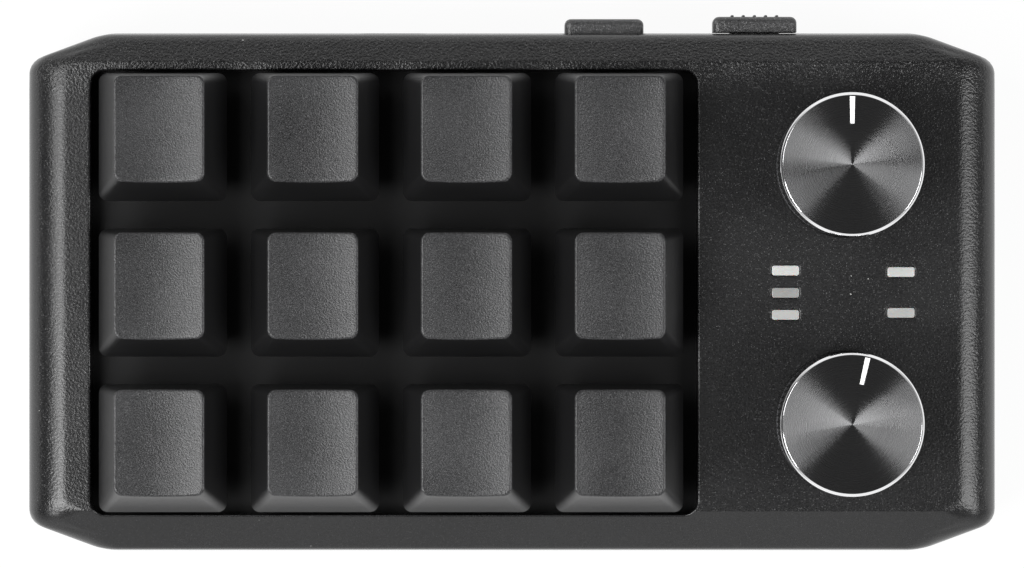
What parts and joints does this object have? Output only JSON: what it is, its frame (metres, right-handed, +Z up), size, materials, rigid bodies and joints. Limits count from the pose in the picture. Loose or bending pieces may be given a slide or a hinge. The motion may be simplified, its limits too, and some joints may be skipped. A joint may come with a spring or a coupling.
{
  "type": "macro keypad with knobs",
  "caption": "Desktop macro keypad: sculpted keys in a sunken well, push-and-turn knobs, indicator windows, a rear push button and a rear slide switch.",
  "frame": {"origin": "on the desk, at the middle of the base mat's lower face, which is under the middle of the case", "axes": "+X to the user's right, along the longer side; +Y to the rear, where the push button and slide switch are; +Z up"},
  "size_m": [0.138, 0.0763, 0.0387],
  "materials": {
    "case_plastic": "black moulded plastic with a fine spark-eroded grain",
    "control_plastic": "black moulded plastic, smoother than the case",
    "key_plastic": "charcoal black moulded plastic with a fine grain on the dished top",
    "stem_plastic": "black low-friction plastic",
    "housing_plastic": "black moulded plastic",
    "mat_rubber": "black non-slip rubber",
    "screw_steel": "black oxidised steel",
    "plate_steel": "black powder-coated steel sheet",
    "board_laminate": "green solder mask on glass laminate",
    "chip_plastic": "black epoxy",
    "can_steel": "tinned steel can",
    "cell_film": "silver laminate film",
    "plug_plastic": "ivory plastic",
    "lead_jacket": "red silicone insulation",
    "socket_steel": "bright stainless steel",
    "contact_brass": "gold-flashed brass",
    "spring_steel": "bright spring wire",
    "encoder_plastic": "green moulded plastic",
    "cover_steel": "tinned steel sheet and die-cast bush",
    "shaft_metal": "turned aluminium",
    "knob_metal": "black anodised aluminium, spun top and bright cut chamfer",
    "pointer_white": "white fill",
    "window_plastic": "milky translucent plastic",
    "led_body": "white case with a yellow phosphor lens"
  },
  "bodies": {
    "case": {"top_case": "case_plastic", "bottom_case": "case_plastic", "base_mat": "mat_rubber", "case_screws": "screw_steel", "switch_plate": "plate_steel", "plate_screws": "screw_steel", "main_board": "board_laminate", "controller_chip": "chip_plastic", "radio_module": "can_steel", "battery_cell": "cell_film", "battery_plug": "plug_plastic", "battery_leads": "lead_jacket", "charge_socket": "socket_steel", "socket_tongue": "chip_plastic", "switch_lower_housings": "housing_plastic", "switch_upper_housings": "housing_plastic", "switch_contacts": "contact_brass", "key_springs": "spring_steel", "encoder_housings": "encoder_plastic", "encoder_covers": "cover_steel", "indicator_windows": "window_plastic", "indicator_leds": "led_body", "button_switch": "chip_plastic", "slide_switch": "can_steel"},
    "key_1": {"key_cap_1": "key_plastic", "key_stem_1": "stem_plastic"},
    "key_2": {"key_cap_2": "key_plastic", "key_stem_2": "stem_plastic"},
    "key_3": {"key_cap_3": "key_plastic", "key_stem_3": "stem_plastic"},
    "key_4": {"key_cap_4": "key_plastic", "key_stem_4": "stem_plastic"},
    "key_5": {"key_cap_5": "key_plastic", "key_stem_5": "stem_plastic"},
    "key_6": {"key_cap_6": "key_plastic", "key_stem_6": "stem_plastic"},
    "key_7": {"key_cap_7": "key_plastic", "key_stem_7": "stem_plastic"},
    "key_8": {"key_cap_8": "key_plastic", "key_stem_8": "stem_plastic"},
    "key_9": {"key_cap_9": "key_plastic", "key_stem_9": "stem_plastic"},
    "key_10": {"key_cap_10": "key_plastic", "key_stem_10": "stem_plastic"},
    "key_11": {"key_cap_11": "key_plastic", "key_stem_11": "stem_plastic"},
    "key_12": {"key_cap_12": "key_plastic", "key_stem_12": "stem_plastic"},
    "rear_push": {"rear_plunger": "plug_plastic"},
    "rear_turn": {"rear_shaft": "shaft_metal", "rear_knob": "knob_metal", "rear_pointer": "pointer_white"},
    "front_push": {"front_plunger": "plug_plastic"},
    "front_turn": {"front_shaft": "shaft_metal", "front_knob": "knob_metal", "front_pointer": "pointer_white"},
    "button": {"rear_button": "control_plastic", "button_plunger": "plug_plastic"},
    "slider": {"slide_cap": "control_plastic", "slide_lever": "plug_plastic"}
  },
  "joints": [
    {"name": "key_1_press", "type": "slide", "parent": "case", "child": "key_1", "axis": [0, 0, -1], "range_m": [0, 0.004], "stiffness_N_per_m": 75, "springref_m": -0.004, "deforming": ["key_springs"]},
    {"name": "key_2_press", "type": "slide", "parent": "case", "child": "key_2", "axis": [0, 0, -1], "range_m": [0, 0.004], "stiffness_N_per_m": 75, "springref_m": -0.004, "deforming": ["key_springs"]},
    {"name": "key_3_press", "type": "slide", "parent": "case", "child": "key_3", "axis": [0, 0, -1], "range_m": [0, 0.004], "stiffness_N_per_m": 75, "springref_m": -0.004, "deforming": ["key_springs"]},
    {"name": "key_4_press", "type": "slide", "parent": "case", "child": "key_4", "axis": [0, 0, -1], "range_m": [0, 0.004], "stiffness_N_per_m": 75, "springref_m": -0.004, "deforming": ["key_springs"]},
    {"name": "key_5_press", "type": "slide", "parent": "case", "child": "key_5", "axis": [0, 0, -1], "range_m": [0, 0.004], "stiffness_N_per_m": 75, "springref_m": -0.004, "deforming": ["key_springs"]},
    {"name": "key_6_press", "type": "slide", "parent": "case", "child": "key_6", "axis": [0, 0, -1], "range_m": [0, 0.004], "stiffness_N_per_m": 75, "springref_m": -0.004, "deforming": ["key_springs"]},
    {"name": "key_7_press", "type": "slide", "parent": "case", "child": "key_7", "axis": [0, 0, -1], "range_m": [0, 0.004], "stiffness_N_per_m": 75, "springref_m": -0.004, "deforming": ["key_springs"]},
    {"name": "key_8_press", "type": "slide", "parent": "case", "child": "key_8", "axis": [0, 0, -1], "range_m": [0, 0.004], "stiffness_N_per_m": 75, "springref_m": -0.004, "deforming": ["key_springs"]},
    {"name": "key_9_press", "type": "slide", "parent": "case", "child": "key_9", "axis": [0, 0, -1], "range_m": [0, 0.004], "stiffness_N_per_m": 75, "springref_m": -0.004, "deforming": ["key_springs"]},
    {"name": "key_10_press", "type": "slide", "parent": "case", "child": "key_10", "axis": [0, 0, -1], "range_m": [0, 0.004], "stiffness_N_per_m": 75, "springref_m": -0.004, "deforming": ["key_springs"]},
    {"name": "key_11_press", "type": "slide", "parent": "case", "child": "key_11", "axis": [0, 0, -1], "range_m": [0, 0.004], "stiffness_N_per_m": 75, "springref_m": -0.004, "deforming": ["key_springs"]},
    {"name": "key_12_press", "type": "slide", "parent": "case", "child": "key_12", "axis": [0, 0, -1], "range_m": [0, 0.004], "stiffness_N_per_m": 75, "springref_m": -0.004, "deforming": ["key_springs"]},
    {"name": "rear_knob_press", "type": "slide", "parent": "case", "child": "rear_push", "axis": [0, 0, -1], "range_m": [0, 0.0005], "stiffness_N_per_m": 800, "springref_m": -0.0015},
    {"name": "rear_knob_turn", "type": "hinge", "parent": "rear_push", "child": "rear_turn", "pos_m": [0.047, 0.0176, 0.0242], "axis": [0, 0, 1], "continuous": true},
    {"name": "front_knob_press", "type": "slide", "parent": "case", "child": "front_push", "axis": [0, 0, -1], "range_m": [0, 0.0005], "stiffness_N_per_m": 800, "springref_m": -0.0015},
    {"name": "front_knob_turn", "type": "hinge", "parent": "front_push", "child": "front_turn", "pos_m": [0.047, -0.0183, 0.0242], "axis": [0, 0, 1], "continuous": true},
    {"name": "rear_button_press", "type": "slide", "parent": "case", "child": "button", "axis": [0, -1, 0], "range_m": [0, 0.0005], "stiffness_N_per_m": 600, "springref_m": -0.002},
    {"name": "slide_switch_move", "type": "slide", "parent": "case", "child": "slider", "axis": [1, 0, 0], "range_m": [0, 0.002]}
  ]
}
